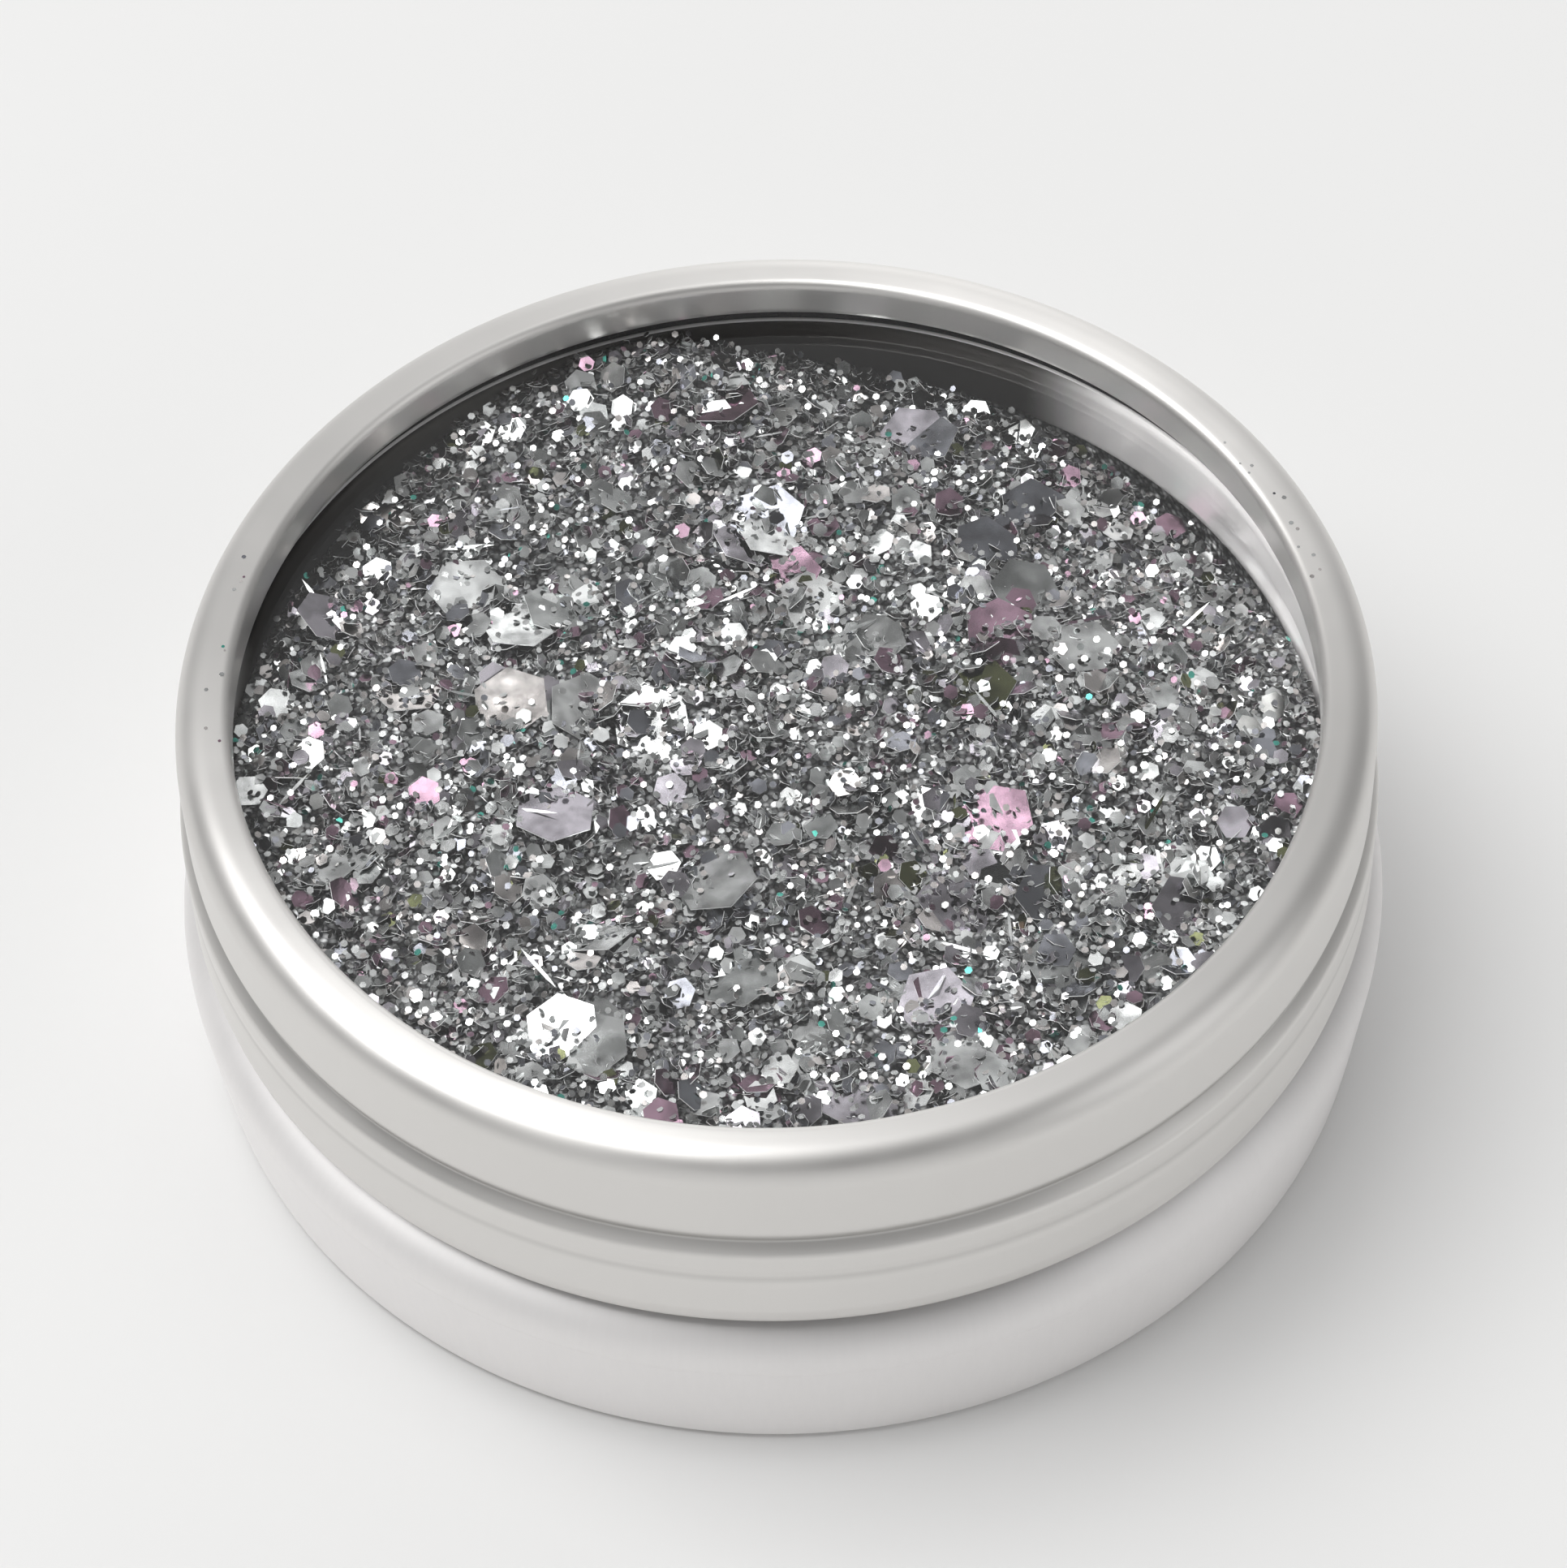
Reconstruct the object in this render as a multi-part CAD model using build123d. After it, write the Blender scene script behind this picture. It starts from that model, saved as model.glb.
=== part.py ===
from build123d import *
import os

# Round satin aluminium screw tin with a clear window in its lid, holding chunky glitter.
# Millimetres. +Z is up, the tin stands on z = 0 and the axis of both halves is the Z axis.

# sheet metal
sheet = 0.35                # thickness of the drawn aluminium
half_sheet = sheet / 2
running_gap = 0.05          # between the lid's loose pieces, stacked face to face

# base cup, outside sizes
foot_corner = 0.6           # rounded edge the cup stands on
wall_radius_low = 25.33     # outside, just above the foot
wall_radius_high = 25.94    # outside, at the shoulder: the widest place on the tin
shoulder_z = 6.15           # where the wall starts to roll in
shoulder_top_z = 8.09       # flat ledge at the root of the neck
shoulder_bend = 1.75        # of the middle of the sheet
neck_radius = 23.45         # outside of the neck that the lid screws onto
neck_top_z = 15.7           # top of the outward curl, the sealing edge
neck_root_bend = 0.35
rim_curl = 0.3              # radius of the curl, at the middle of the sheet
panel_rise = 0.45           # the bottom panel is pressed in, so the tin stands on a ring
panel_radius = 21.6
foot_ring_radius = 22.6     # where the panel's step comes down to the foot ring

# lid, outside sizes
lid_radius = 25.0           # straight wall above the groove
groove_radius = 24.775      # bottom of the groove rolled in above the skirt
skirt_radius = 25.3         # wider part of the wall that holds the thread
lid_edge_radius = 25.15     # bottom edge, drawn in a little
lid_edge_z = 8.7
skirt_low_z = 9.5
skirt_high_z = 13.25
groove_z = 13.85
groove_top_z = 14.5
lid_top_z = 18.8
rim_corner = 1.35           # rounded outer corner of the rim
rim_inner_corner = 0.4      # rounded inner corner, where the rim turns down to the window
opening_radius = 22.65      # inside of the rim's inner wall, round the window
rim_low_z = 17.05           # sheared lower edge of the inner wall

# thread rolled into the neck and into the skirt, right-handed, one start
thread_lead = 2.5
neck_thread_turns = 1.1
lid_thread_turns = 1.0
neck_thread_radius = 24.45  # crest of the ridge on the neck
lid_thread_radius = 24.15   # crest of the ridge inside the skirt
ridge_root_width = 1.1
ridge_crest_width = 0.5
neck_thread_start_z = 10.6
lid_thread_start_z = neck_thread_start_z - thread_lead / 2

# window and liner
window_radius = 24.4
window_thickness = 0.45
liner_outer_radius = 24.3
liner_inner_radius = 23.3
window_top_z = rim_low_z - running_gap
window_low_z = window_top_z - window_thickness
liner_top_z = window_low_z - running_gap
liner_low_z = neck_top_z + running_gap

# glitter
fill_clearance = 0.1        # between the fill and the cup all round
fill_level_z = 15.1         # even part of the surface
slump_z = 11.5              # surface at the wall on the side where the glitter has slid away
slump_start = 12.0          # distance from the axis at which the slump begins
slump_azimuth = 45.0        # degrees from +X towards +Y


def turned(section):
    """A round part, from its section on the XZ plane."""
    return revolve(section, Axis.Z)


def ring(inner_radius, outer_radius, low_z, high_z):
    """A flat ring with square edges."""
    centre = ((inner_radius + outer_radius) / 2, (low_z + high_z) / 2)
    section = Pos(*centre) * Rectangle(outer_radius - inner_radius, high_z - low_z)
    return turned(Plane.XZ * section)


def ridge(root_radius, crest_radius, start_z, turns):
    """One rolled thread ridge, as a separate helical solid that reaches from its root to its crest."""
    middle_radius = (root_radius + crest_radius) / 2
    path = Pos(0, 0, start_z) * Helix(thread_lead, thread_lead * turns, middle_radius)
    depth = crest_radius - root_radius
    # a negative depth puts the crest on the side towards the axis
    root = ridge_root_width / 2
    crest = ridge_crest_width / 2
    outline = Polyline(
        (-depth / 2, -root),
        (depth / 2, -crest),
        (depth / 2, crest),
        (-depth / 2, root),
        close=True,
    )
    start = path @ 0
    section_plane = Plane(origin=start, x_dir=(1, 0, 0), z_dir=path % 0)
    return sweep(section_plane * make_face(outline), path=path, is_frenet=True)


def base_cup():
    """Drawn cup: pressed-in panel, foot ring, wall, rolled shoulder, threaded neck, outward curl."""
    foot_z = half_sheet
    wall_slope = (wall_radius_high - wall_radius_low) / (shoulder_z - foot_corner)
    ledge_z = shoulder_top_z - half_sheet
    corner_radius = wall_radius_low - half_sheet + wall_slope * (ledge_z - foot_corner)
    neck_middle = neck_radius - half_sheet
    curl_start_z = neck_top_z - rim_curl - half_sheet
    body = FilletPolyline(
        (0, panel_rise + half_sheet),
        (panel_radius, panel_rise + half_sheet),
        (foot_ring_radius, foot_z),
        (wall_radius_low - half_sheet - wall_slope * foot_corner, foot_z),
        (corner_radius, ledge_z),
        (neck_middle, ledge_z),
        (neck_middle, curl_start_z),
        radius=[0.4, 0.4, foot_corner - half_sheet, shoulder_bend, neck_root_bend],
    )
    # a negative arc rolls the rim outwards
    curl = JernArc(start=body @ 1, tangent=(0, 1), radius=rim_curl, arc_size=-255)
    cup = turned(Plane.XZ * trace(body + curl, sheet))
    thread = ridge(neck_radius - half_sheet, neck_thread_radius, neck_thread_start_z, neck_thread_turns)
    return cup + thread


def lid_shell():
    """Drawn lid: skirt, groove, straight wall and a flat-topped rim that turns down to the window."""
    wall_middle = lid_radius - half_sheet
    skirt_middle = skirt_radius - half_sheet
    top_z = lid_top_z - half_sheet
    inner_middle = opening_radius + half_sheet
    wall = FilletPolyline(
        (lid_edge_radius - half_sheet, lid_edge_z),
        (skirt_middle, skirt_low_z),
        (skirt_middle, skirt_high_z),
        (groove_radius - half_sheet, groove_z),
        (wall_middle, groove_top_z),
        (wall_middle, top_z),
        (inner_middle, top_z),
        (inner_middle, rim_low_z),
        radius=[1.5, 0.35, 0.35, 0.6, rim_corner - half_sheet, rim_inner_corner - half_sheet],
    )
    shell = turned(Plane.XZ * trace(wall, sheet))
    thread = ridge(skirt_radius - half_sheet, lid_thread_radius, lid_thread_start_z, lid_thread_turns)
    return shell + thread


def window_disc():
    """Clear disc that lies against the lower edge of the rim's inner wall."""
    thickness_centre = (window_low_z + window_top_z) / 2
    disc = Pos(0, 0, thickness_centre) * Cylinder(window_radius, window_thickness)
    return chamfer(disc.edges(), 0.05)


def liner_ring():
    """Foam ring that seals the neck's rim to the window."""
    return ring(liner_inner_radius, liner_outer_radius, liner_low_z, liner_top_z)


def glitter_fill():
    """Loose glitter as one closed solid that fills the cup, level but for one slumped side."""
    wall_inside_low = wall_radius_low - sheet - fill_clearance
    wall_inside_high = wall_radius_high - sheet - fill_clearance
    neck_inside = neck_radius - sheet - fill_clearance
    floor_z = panel_rise + sheet + fill_clearance
    outline = Polyline(
        (0, floor_z),
        (wall_inside_low - foot_corner, floor_z),
        (wall_inside_low, floor_z + foot_corner),
        (wall_inside_high - fill_clearance, shoulder_z - foot_corner),
        (neck_inside, shoulder_top_z - 2 * sheet),
        (neck_inside, fill_level_z),
        (0, fill_level_z),
        close=True,
    )
    fill = turned(Plane.XZ * make_face(outline))
    slump_run = neck_inside - slump_start
    slump_drop = fill_level_z - slump_z
    slump_length = 4 * slump_run
    slump_cut = Polyline(
        (slump_start, fill_level_z),
        (slump_start + slump_length, fill_level_z - slump_drop * slump_length / slump_run),
        (slump_start + slump_length, fill_level_z + slump_length),
        (slump_start, fill_level_z + slump_length),
        close=True,
    )
    cutter = extrude(Plane.XZ * make_face(slump_cut), amount=neck_radius * 2, both=True)
    return fill - Rot(0, 0, slump_azimuth) * cutter


pieces = {
    "base_cup": base_cup(),
    "lid_shell": lid_shell(),
    "window_disc": window_disc(),
    "liner_ring": liner_ring(),
    "glitter_fill": glitter_fill(),
}

os.makedirs("parts", exist_ok=True)
for name, piece in pieces.items():
    export_step(piece, f"parts/{name}.step")
    box = piece.bounding_box()
    print(f"{name}: volume {piece.volume:.1f} mm3, z {box.min.Z:.2f} to {box.max.Z:.2f}, radius {box.max.X:.2f}")
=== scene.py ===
import bpy
import math
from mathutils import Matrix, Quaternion, Vector


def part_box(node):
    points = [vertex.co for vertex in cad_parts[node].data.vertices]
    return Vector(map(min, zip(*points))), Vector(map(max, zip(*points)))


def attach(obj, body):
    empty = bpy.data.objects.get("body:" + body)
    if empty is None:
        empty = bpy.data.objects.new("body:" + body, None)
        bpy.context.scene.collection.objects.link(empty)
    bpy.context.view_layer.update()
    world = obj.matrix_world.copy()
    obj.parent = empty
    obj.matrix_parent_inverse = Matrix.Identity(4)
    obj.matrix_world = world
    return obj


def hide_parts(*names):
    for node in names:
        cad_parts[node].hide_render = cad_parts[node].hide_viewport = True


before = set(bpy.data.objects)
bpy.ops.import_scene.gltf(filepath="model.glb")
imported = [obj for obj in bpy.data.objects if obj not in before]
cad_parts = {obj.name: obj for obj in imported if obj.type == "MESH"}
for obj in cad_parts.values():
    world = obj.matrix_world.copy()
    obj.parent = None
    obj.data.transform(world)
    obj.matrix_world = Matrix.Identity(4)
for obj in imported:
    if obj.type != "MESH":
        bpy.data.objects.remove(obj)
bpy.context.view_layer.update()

# ---------------------------------------------------------------------------
# Base cup
# The lower half of the tin: one disc of aluminium, deep drawn to a cup, then
# spun to roll in the shoulder and the thread, and curled outwards at the rim.
# It stands on the ring round its pressed-in bottom panel.
# ---------------------------------------------------------------------------
mm = 0.001
sheet = 0.35 * mm
thread_lead = 2.5 * mm
cup_low, cup_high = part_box("base_cup")


def bent_path(corners, step):
    """Points along straight runs joined by arcs. A corner is (radius, height, bend radius)."""
    points = [Vector(corners[0][:2])]
    for before, corner, after in zip(corners, corners[1:], corners[2:]):
        here = Vector(corner[:2])
        back = (Vector(before[:2]) - here).normalized()
        ahead = (Vector(after[:2]) - here).normalized()
        turn = math.pi - back.angle(ahead)
        reach = corner[2] * math.tan(turn / 2)
        start = here + back * reach
        centre = here + (back + ahead).normalized() * corner[2] / math.cos(turn / 2)
        side = 1 if back.x * ahead.y - back.y * ahead.x < 0 else -1
        pieces = max(3, math.ceil(turn / math.radians(11)))
        add_run(points, start, step)
        for i in range(1, pieces + 1):
            angle = side * turn * i / pieces
            arm = start - centre
            swing = Vector((arm.x * math.cos(angle) - arm.y * math.sin(angle),
                            arm.x * math.sin(angle) + arm.y * math.cos(angle)))
            points.append(centre + swing)
    add_run(points, Vector(corners[-1][:2]), step)
    return points


def add_run(points, end, step):
    """A straight run from the last point, cut into even steps."""
    start = points[-1]
    pieces = max(1, math.ceil((end - start).length / step))
    for i in range(1, pieces + 1):
        points.append(start.lerp(end, i / pieces))


def add_curl(points, radius, sweep):
    """An arc that carries on from an upright run. A negative radius turns it away from the axis."""
    start = points[-1]
    pieces = math.ceil(sweep / math.radians(11))
    for i in range(1, pieces + 1):
        angle = sweep * i / pieces
        points.append(start + Vector((radius * (math.cos(angle) - 1), abs(radius) * math.sin(angle))))


def sheet_outline(path, thickness):
    """The closed outline of a bent sheet, from the path of its middle, with rounded ends."""
    left, right = [], []
    for i, point in enumerate(path):
        along = (path[min(i + 1, len(path) - 1)] - path[max(i - 1, 0)]).normalized()
        across = Vector((-along.y, along.x)) * thickness / 2
        left.append(point + across)
        right.append(point - across)
    outline = left + round_end(path[-1], path[-2], thickness) + right[::-1]
    # a path that starts on the axis has no cut edge there
    if path[0].x > thickness:
        outline += round_end(path[0], path[1], thickness)
    return outline


def round_end(end, before, thickness):
    """Three points that round off a cut edge."""
    along = (end - before).normalized()
    across = Vector((-along.y, along.x)) * thickness / 2
    return [end + across * math.cos(a) + along * thickness / 4 * math.sin(a)
            for a in (math.pi / 4, math.pi / 2, 3 * math.pi / 4)]


def section_curve(name, outline):
    """A closed flat curve of a section: x is the distance from the axis, and y points down for the spin."""
    curve = bpy.data.curves.new(name, "CURVE")
    spline = curve.splines.new("POLY")
    spline.points.add(len(outline) - 1)
    for point, place in zip(spline.points, outline):
        point.co = (place.x, -place.y, 0, 1)
    spline.use_cyclic_u = True
    section = bpy.data.objects.new(name, curve)
    bpy.context.scene.collection.objects.link(section)
    return section


def new_tree(name, inputs):
    """A geometry node group with named inputs. Returns it with its input and output nodes."""
    tree = bpy.data.node_groups.new(name, "GeometryNodeTree")
    tree.interface.new_socket("Geometry", in_out="INPUT", socket_type="NodeSocketGeometry")
    for label, kind in inputs:
        tree.interface.new_socket(label, in_out="INPUT", socket_type="NodeSocket" + kind)
    tree.interface.new_socket("Geometry", in_out="OUTPUT", socket_type="NodeSocketGeometry")
    return tree, tree.nodes.new("NodeGroupInput"), tree.nodes.new("NodeGroupOutput")


def add(tree, kind, sockets=None, **settings):
    """A node with its settings, each socket linked to another or given a value."""
    made = tree.nodes.new(kind)
    for setting, value in settings.items():
        setattr(made, setting, value)
    for label, value in (sockets or {}).items():
        socket = made.inputs[label]
        if isinstance(value, bpy.types.NodeSocket):
            tree.links.new(value, socket)
        else:
            socket.default_value = value
    return made


def maths(tree, operation, *values):
    """The result of one sum on numbers."""
    made = add(tree, "ShaderNodeMath", dict(enumerate(values)), operation=operation)
    return made.outputs[0]


def finished_mesh(worked_on, tree, name, values):
    """Runs a tree on an object and returns the result as a plain mesh object."""
    modifier = worked_on.modifiers.new(name, "NODES")
    modifier.node_group = tree
    identifiers = {item.name: item.identifier for item in tree.interface.items_tree
                   if item.in_out == "INPUT"}
    for label, value in values.items():
        modifier[identifiers[label]] = value
    graph = bpy.context.evaluated_depsgraph_get()
    graph.update()
    mesh = bpy.data.meshes.new_from_object(worked_on.evaluated_get(graph))
    made = bpy.data.objects.new(name, mesh)
    bpy.context.scene.collection.objects.link(made)
    worked_on.modifiers.clear()
    bpy.data.objects.remove(worked_on)
    return made


def spun_section(tree, geometry, segments):
    """A section curve spun round the tin's axis."""
    hub = 1 * mm
    circle = add(tree, "GeometryNodeCurvePrimitiveCircle",
                 {"Resolution": segments, "Radius": hub}, mode="RADIUS")
    moved = add(tree, "GeometryNodeTransform", {"Geometry": geometry, "Translation": (-hub, 0, 0)})
    spun = add(tree, "GeometryNodeCurveToMesh",
               {"Curve": circle.outputs["Curve"], "Profile Curve": moved.outputs["Geometry"]})
    return spun.outputs["Mesh"]


def closed_mesh(tree, geometry):
    """Joins the points that meet on the axis, drops the stray edge there, and shades the mesh smooth."""
    merged = add(tree, "GeometryNodeMergeByDistance", {"Geometry": geometry, "Distance": 0.001 * mm})
    faces_beside = add(tree, "GeometryNodeInputMeshEdgeNeighbors").outputs["Face Count"]
    stray = maths(tree, "LESS_THAN", faces_beside, 0.5)
    clean = add(tree, "GeometryNodeDeleteGeometry",
                {"Geometry": merged.outputs["Geometry"], "Selection": stray}, domain="EDGE")
    smooth = add(tree, "GeometryNodeSetShadeSmooth", {"Geometry": clean.outputs["Geometry"]})
    return smooth.outputs["Geometry"]


def end_tree(tree, result, geometry, material):
    """Ends a tree: instances are made real, and the faces get their material."""
    real = add(tree, "GeometryNodeRealizeInstances", {"Geometry": geometry})
    faced = add(tree, "GeometryNodeSetMaterial", {"Geometry": real.outputs["Geometry"], "Material": material})
    tree.links.new(faced.outputs["Geometry"], result.inputs["Geometry"])


def from_axis(tree, split):
    """How far a place is from the tin's axis, and which way is outwards there."""
    flat = add(tree, "ShaderNodeCombineXYZ", {"X": split["X"], "Y": split["Y"]}).outputs["Vector"]
    radius = add(tree, "ShaderNodeVectorMath", {0: flat}, operation="LENGTH").outputs["Value"]
    outward = add(tree, "ShaderNodeVectorMath", {0: flat}, operation="NORMALIZE").outputs["Vector"]
    return radius, outward


def turned_tree():
    """Spins a section round the axis and rolls a thread ridge into it."""
    tree, given, result = new_tree("turned sheet", [
        ("Segments", "Int"), ("Lead", "Float"), ("Start Height", "Float"), ("Turns", "Float"),
        ("Ridge Depth", "Float"), ("Ridge Width", "Float"), ("Rolled Within", "Float"),
        ("Metal", "Material")])
    take = given.outputs
    spun = spun_section(tree, take["Geometry"], take["Segments"])
    place = add(tree, "GeometryNodeInputPosition").outputs["Position"]
    split = add(tree, "ShaderNodeSeparateXYZ", {"Vector": place}).outputs
    around = maths(tree, "DIVIDE", maths(tree, "ARCTAN2", split["Y"], split["X"]), 2 * math.pi)
    turn = maths(tree, "FRACT", maths(tree, "ADD", around, 1.0))
    climb = maths(tree, "DIVIDE", maths(tree, "SUBTRACT", split["Z"], take["Start Height"]), take["Lead"])
    nearest = maths(tree, "ROUND", maths(tree, "SUBTRACT", climb, turn))
    travelled = maths(tree, "ADD", turn, nearest)
    off_ridge = maths(tree, "ABSOLUTE", maths(tree, "SUBTRACT", climb, travelled))
    half_width = maths(tree, "DIVIDE", maths(tree, "DIVIDE", take["Ridge Width"], 2.0), take["Lead"])
    swell = add(tree, "ShaderNodeMapRange",
                {"Value": off_ridge, "From Min": half_width, "From Max": 0.0, "To Min": 0.0, "To Max": 1.0},
                interpolation_type="SMOOTHSTEP").outputs["Result"]
    taper = 0.12
    run_in = add(tree, "ShaderNodeMapRange",
                 {"Value": travelled, "From Min": 0.0, "From Max": taper}).outputs["Result"]
    left_over = maths(tree, "SUBTRACT", take["Turns"], travelled)
    run_out = add(tree, "ShaderNodeMapRange",
                  {"Value": left_over, "From Min": 0.0, "From Max": taper}).outputs["Result"]
    radius, outward = from_axis(tree, split)
    rolled = maths(tree, "LESS_THAN", radius, take["Rolled Within"])
    height = maths(tree, "MULTIPLY", maths(tree, "MULTIPLY", swell, take["Ridge Depth"]), rolled)
    height = maths(tree, "MULTIPLY", height, maths(tree, "MULTIPLY", run_in, run_out))
    push = add(tree, "ShaderNodeVectorMath", {0: outward, "Scale": height}, operation="SCALE")
    shaped = add(tree, "GeometryNodeSetPosition", {"Geometry": spun, "Offset": push.outputs["Vector"]})
    end_tree(tree, result, closed_mesh(tree, shaped.outputs["Geometry"]), take["Metal"])
    return tree


def new_material(name):
    """A material with an empty Principled surface. Returns it with its tree and its shader."""
    material = bpy.data.materials.new(name)
    material.use_nodes = True
    tree = material.node_tree
    return material, tree, tree.nodes["Principled BSDF"]


def two_shades(tree, value, low, low_colour, high, high_colour):
    """A colour that goes from one shade to another as a value goes from low to high."""
    ramp_node = add(tree, "ShaderNodeValToRGB", {"Fac": value})
    first, last = ramp_node.color_ramp.elements
    first.position = low
    first.color = (*low_colour, 1)
    last.position = high
    last.color = (*high_colour, 1)
    return ramp_node.outputs["Color"]


def add_relief(tree, surface, height, strength, depth):
    """Fine relief too shallow for the mesh."""
    bump = add(tree, "ShaderNodeBump", {"Height": height, "Strength": strength, "Distance": depth})
    tree.links.new(bump.outputs["Normal"], surface.inputs["Normal"])


def painted_groove_shade(tree, height, grooves):
    """How much painted shade lies in the grooves at a height. A groove is (height, half width, amount)."""
    dust_and_shade = 0.0
    for middle, reach, amount in grooves:
        off = maths(tree, "ABSOLUTE", maths(tree, "SUBTRACT", height, middle))
        here = add(tree, "ShaderNodeMapRange",
                   {"Value": off, "From Min": reach, "From Max": 0.0, "To Min": 0.0, "To Max": amount},
                   interpolation_type="SMOOTHSTEP").outputs["Result"]
        dust_and_shade = maths(tree, "MAXIMUM", dust_and_shade, here)
    return dust_and_shade


def painted_neck_shade(tree, height, radius, around):
    """Painted shade inside the neck, dark and not metallic, on the side the flakes have slid away from."""
    neck_shade_angle = math.radians(112)
    between_neck_faces = 23.3 * mm
    above_ledge = 9.0 * mm
    side = Vector((math.cos(neck_shade_angle), math.sin(neck_shade_angle), 0))
    towards = add(tree, "ShaderNodeVectorMath", {0: around, 1: side},
                  operation="DOT_PRODUCT").outputs["Value"]
    there = add(tree, "ShaderNodeMapRange",
                {"Value": towards, "From Min": 0.42, "From Max": 0.62},
                interpolation_type="SMOOTHSTEP").outputs["Result"]
    inner = maths(tree, "LESS_THAN", radius, between_neck_faces)
    above = maths(tree, "GREATER_THAN", height, above_ledge)
    return maths(tree, "MULTIPLY", maths(tree, "MULTIPLY", inner, above), there)


def satin_aluminium(name, tone, streaks, roughest, grooves, neck_shaded):
    """Drawn aluminium with a fine satin etch: turning rings, faint drawn streaks, a few specks, painted shade
    in its grooves and, on the cup, painted shade inside its neck."""
    material, tree, surface = new_material(name)
    place = add(tree, "ShaderNodeTexCoord").outputs["Object"]
    split = add(tree, "ShaderNodeSeparateXYZ", {"Vector": place}).outputs
    radius, around = from_axis(tree, split)
    turn = add(tree, "ShaderNodeSeparateXYZ", {"Vector": around}).outputs
    ring_place = add(tree, "ShaderNodeCombineXYZ", {"X": radius, "Y": split["Z"]}).outputs["Vector"]
    rings = add(tree, "ShaderNodeTexNoise",
                {"Vector": ring_place, "Scale": 5200.0, "Detail": 3.0, "Roughness": 0.6}).outputs["Fac"]
    drawn_place = add(tree, "ShaderNodeCombineXYZ",
                      {"X": turn["X"], "Y": turn["Y"], "Z": maths(tree, "MULTIPLY", split["Z"], 6.0)})
    drawn = add(tree, "ShaderNodeTexNoise",
                {"Vector": drawn_place.outputs["Vector"], "Scale": 95.0, "Detail": 5.0,
                 "Roughness": 0.7}).outputs["Fac"]
    etch = add(tree, "ShaderNodeTexNoise",
               {"Vector": place, "Scale": 9000.0, "Detail": 2.0, "Roughness": 0.7}).outputs["Fac"]
    cloud = add(tree, "ShaderNodeTexNoise",
                {"Vector": place, "Scale": 130.0, "Detail": 3.0, "Roughness": 0.55}).outputs["Fac"]
    shade = maths(tree, "ADD", maths(tree, "MULTIPLY", cloud, 0.5), maths(tree, "MULTIPLY", drawn, streaks))
    duller = [part * 0.93 for part in tone]
    metal = two_shades(tree, shade, 0.1, duller, 0.6 + streaks, tone)
    specks = add(tree, "ShaderNodeTexVoronoi", {"Vector": place, "Scale": 330.0, "Randomness": 1.0})
    speck_size = add(tree, "ShaderNodeSeparateXYZ", {"Vector": specks.outputs["Color"]}).outputs["X"]
    speck_edge = add(tree, "ShaderNodeMapRange",
                     {"Value": speck_size, "From Min": 0.93, "From Max": 1.0,
                      "To Min": 0.0, "To Max": 0.045}).outputs["Result"]
    speck = maths(tree, "LESS_THAN", specks.outputs["Distance"], speck_edge)
    speck = maths(tree, "MULTIPLY", speck, 0.6)
    # the dark specks are real; the grooves get painted shade in the same dark colour
    specks_and_painted_shade = maths(tree, "MAXIMUM", speck, painted_groove_shade(tree, split["Z"], grooves))
    if neck_shaded:
        # painted shade: inside the neck on one side the metal is made dark and not metallic
        film = painted_neck_shade(tree, split["Z"], radius, around)
        specks_and_painted_shade = maths(tree, "MAXIMUM", specks_and_painted_shade, film)
        outside_neck_shade = maths(tree, "SUBTRACT", 1.0, film)
        tree.links.new(outside_neck_shade, surface.inputs["Metallic"])
        tree.links.new(maths(tree, "MULTIPLY", outside_neck_shade, 0.5), surface.inputs["Specular IOR Level"])
    mixed = add(tree, "ShaderNodeMix", {"Factor": specks_and_painted_shade}, data_type="RGBA")
    speck_and_shade_colour = (0.018, 0.016, 0.015, 1)
    tree.links.new(metal, mixed.inputs[6])
    mixed.inputs[7].default_value = speck_and_shade_colour
    tree.links.new(mixed.outputs[2], surface.inputs["Base Color"])
    rough = add(tree, "ShaderNodeMapRange",
                {"Value": cloud, "From Min": 0.3, "From Max": 0.7, "To Min": roughest - 0.08,
                 "To Max": roughest})
    tree.links.new(rough.outputs["Result"], surface.inputs["Roughness"])
    surface.inputs["Metallic"].default_value = 1.0
    surface.inputs["Anisotropic"].default_value = 0.6
    surface.inputs["Anisotropic Rotation"].default_value = 0.25
    grain = add(tree, "ShaderNodeTangent", direction_type="RADIAL", axis="Z").outputs["Tangent"]
    tree.links.new(grain, surface.inputs["Tangent"])
    relief = maths(tree, "ADD", maths(tree, "MULTIPLY", rings, 0.5), maths(tree, "MULTIPLY", etch, 0.5))
    relief = maths(tree, "ADD", relief, maths(tree, "MULTIPLY", drawn, streaks * 2))
    add_relief(tree, surface, relief, 0.12, 0.02 * mm)
    return material


turned = turned_tree()
# the cup gets painted shade inside its neck
cup_metal = satin_aluminium("satin aluminium cup", (0.92, 0.905, 0.90), 0.5, 0.60, [], True)
cup_wide = cup_high.x - sheet / 2
foot_wide = 25.33 * mm - sheet / 2
foot_corner = 0.6 * mm
neck_middle = 23.45 * mm - sheet / 2
curl_bend = 0.3 * mm
ledge = 8.09 * mm - sheet / 2
shoulder_line = 6.15 * mm
scored_line = 5.75 * mm
score_depth = 0.02 * mm
score_half = 0.1 * mm
panel = 0.45 * mm + sheet / 2
foot = cup_low.z + sheet / 2
wall_low = 1.6 * mm
thread_start = 10.6 * mm
everywhere = 1.0
flare = (cup_wide - foot_wide) / (shoulder_line - foot_corner)


def wall_at(height):
    """How far the flared wall is from the axis at a height."""
    return foot_wide + (height - foot_corner) * flare


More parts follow.
